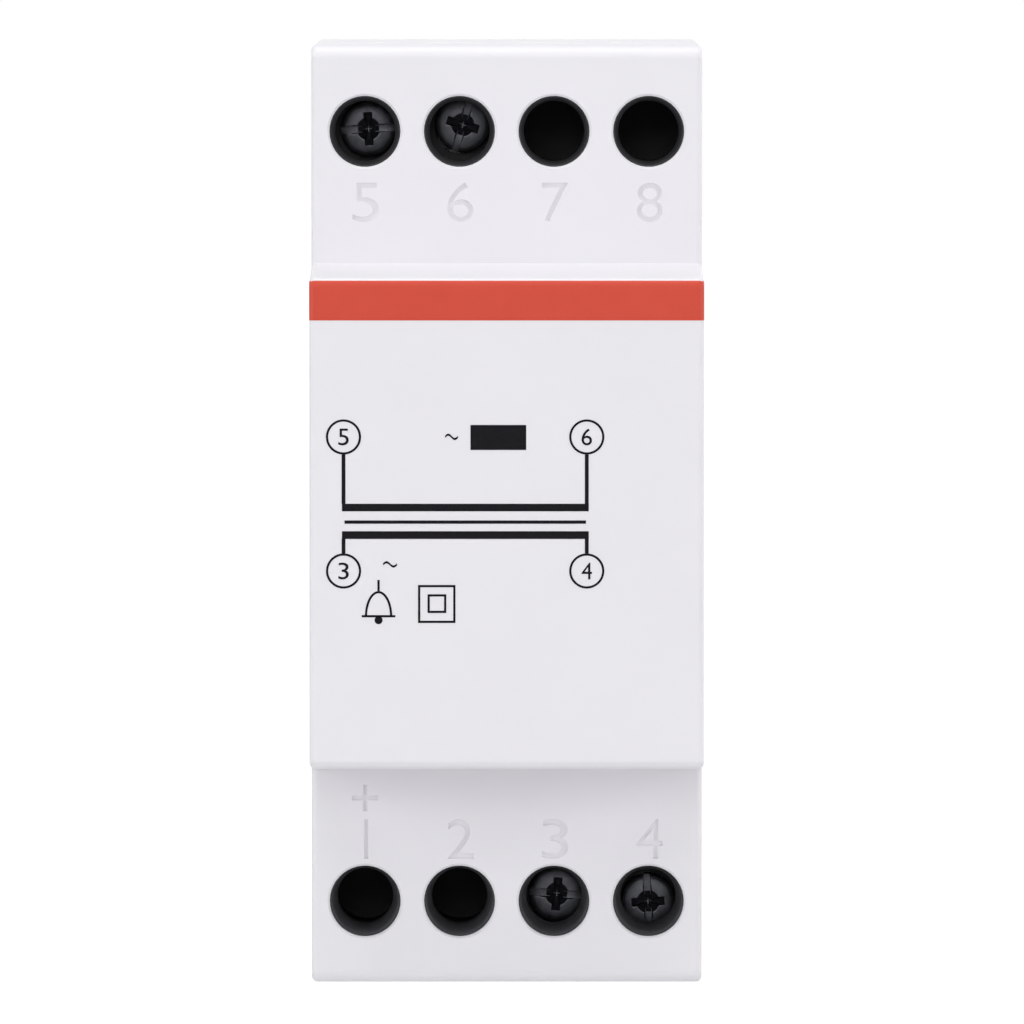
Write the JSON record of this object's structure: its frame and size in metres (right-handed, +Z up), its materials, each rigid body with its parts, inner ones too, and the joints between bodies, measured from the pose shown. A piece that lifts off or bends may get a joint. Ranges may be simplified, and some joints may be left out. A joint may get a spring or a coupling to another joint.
{
  "type": "doorbell transformer",
  "caption": "Rail-mounted bell transformer in a light grey box with a raised nose, stepped shoulders with screw terminals and a sprung rail clip.",
  "frame": {"origin": "middle of the rail's front face, centred on the width", "axes": "+X to the right seen from the front, the front faces -Y, +Z up"},
  "size_m": [0.0352, 0.0635, 0.0846],
  "materials": {
    "housing": "fine satin moulding, light grey",
    "terminal_plastic": "satin black",
    "screw_steel": "dark zinc plated",
    "cage_steel": "zinc plated",
    "tinned_copper": "tinned, satin",
    "clip_plastic": "satin black, self-lubricating",
    "spring_steel": "bright wire",
    "core_steel": "coated laminations",
    "bobbin_plastic": "natural nylon",
    "enamelled_wire": "enamelled copper wire",
    "tape": "yellow film",
    "cutout_case": "moulded case",
    "lead_insulation": "flexible insulation"
  },
  "bodies": {
    "housing": {"front_cover": "housing", "rear_base": "housing", "terminal_block_top": "terminal_plastic", "terminal_block_bottom": "terminal_plastic", "core_e_stack": "core_steel", "core_i_stack": "core_steel", "bobbin": "bobbin_plastic", "primary_winding": "enamelled_wire", "secondary_winding": "enamelled_wire", "primary_tape": "tape", "secondary_tape": "tape", "thermal_cutout": "cutout_case", "lead_5": "lead_insulation", "lead_6": "lead_insulation", "lead_link": "lead_insulation", "lead_3": "lead_insulation", "lead_4": "lead_insulation", "clip_spring": "spring_steel", "contact_bar_5": "tinned_copper", "contact_bar_6": "tinned_copper", "contact_bar_3": "tinned_copper", "contact_bar_4": "tinned_copper"},
    "screw_5": {"terminal_screw_5": "screw_steel"},
    "cage_5": {"clamp_cage_5": "cage_steel"},
    "screw_6": {"terminal_screw_6": "screw_steel"},
    "cage_6": {"clamp_cage_6": "cage_steel"},
    "screw_3": {"terminal_screw_3": "screw_steel"},
    "cage_3": {"clamp_cage_3": "cage_steel"},
    "screw_4": {"terminal_screw_4": "screw_steel"},
    "cage_4": {"clamp_cage_4": "cage_steel"},
    "clip": {"rail_clip": "clip_plastic"}
  },
  "joints": [
    {"name": "screw_5_turn", "type": "hinge", "parent": "housing", "child": "screw_5", "pos_m": [-0.01251, -0.038, 0.03485], "axis": [0, 1, 0], "range_deg": [0, 3168]},
    {"name": "cage_5_lift", "type": "slide", "parent": "housing", "child": "cage_5", "axis": [0, -1, 0], "range_m": [0, 0.0044]},
    {"name": "screw_6_turn", "type": "hinge", "parent": "housing", "child": "screw_6", "pos_m": [-0.00398, -0.038, 0.03522], "axis": [0, 1, 0], "range_deg": [0, 3168]},
    {"name": "cage_6_lift", "type": "slide", "parent": "housing", "child": "cage_6", "axis": [0, -1, 0], "range_m": [0, 0.0044]},
    {"name": "screw_3_turn", "type": "hinge", "parent": "housing", "child": "screw_3", "pos_m": [0.00454, -0.038, -0.0345], "axis": [0, 1, 0], "range_deg": [0, 3168]},
    {"name": "cage_3_lift", "type": "slide", "parent": "housing", "child": "cage_3", "axis": [0, -1, 0], "range_m": [0, 0.0044]},
    {"name": "screw_4_turn", "type": "hinge", "parent": "housing", "child": "screw_4", "pos_m": [0.01281, -0.038, -0.0352], "axis": [0, 1, 0], "range_deg": [0, 3168]},
    {"name": "cage_4_lift", "type": "slide", "parent": "housing", "child": "cage_4", "axis": [0, -1, 0], "range_m": [0, 0.0044]},
    {"name": "clip_slide", "type": "slide", "parent": "housing", "child": "clip", "axis": [0, 0, -1], "range_m": [0, 0.0035], "stiffness_N_per_m": 4000, "springref_m": -0.0015, "deforming": ["clip_spring"]}
  ],
  "couplings": [
    {"joint": "screw_5_turn", "follows": "cage_5_lift", "rad_per_m": 12566},
    {"joint": "screw_6_turn", "follows": "cage_6_lift", "rad_per_m": 12566},
    {"joint": "screw_3_turn", "follows": "cage_3_lift", "rad_per_m": 12566},
    {"joint": "screw_4_turn", "follows": "cage_4_lift", "rad_per_m": 12566}
  ]
}
